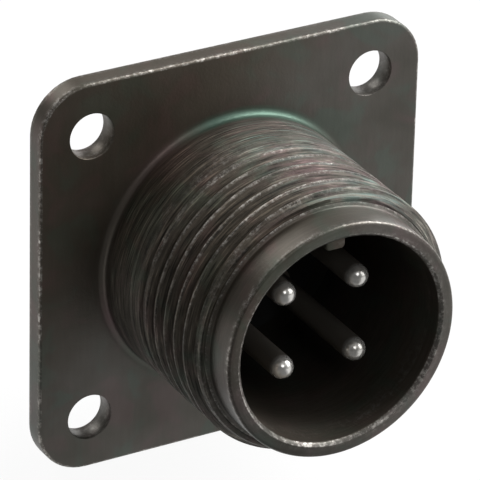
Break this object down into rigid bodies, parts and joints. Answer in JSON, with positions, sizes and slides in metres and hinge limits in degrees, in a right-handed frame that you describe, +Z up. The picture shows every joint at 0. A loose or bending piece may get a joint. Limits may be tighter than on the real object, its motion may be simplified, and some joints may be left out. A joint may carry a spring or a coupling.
{
  "type": "aviation plug connector",
  "caption": "Square-flange panel receptacle of a round threaded connector, with a keyed barrel, pin contacts in a two-part insert and solder cups at the rear.",
  "frame": {"origin": "centre of the four-hole pattern on the flange's mounting (rear) face, on the connector's axis", "axes": "-Y along the connector's axis to the front, out of the mating bore; +Y to the solder cups; +Z up, towards the key; +X to the right seen from the front"},
  "size_m": [0.0282, 0.0239, 0.0282],
  "materials": {
    "cast_shell": "die-cast aluminium, cadmium plated with an olive drab conversion coat, satin and iridescent",
    "front_insert": "black moulded thermosetting plastic",
    "rear_insert": "black moulded thermosetting plastic",
    "spring_steel": "zinc plated spring steel",
    "silver_plate": "turned copper alloy, silver plated, bright"
  },
  "bodies": {
    "root": {"shell": "cast_shell", "front_insert": "front_insert", "rear_insert": "rear_insert", "retaining_ring": "spring_steel", "contact_1": "silver_plate", "contact_2": "silver_plate", "contact_3": "silver_plate", "contact_4": "silver_plate"}
  },
  "joints": []
}
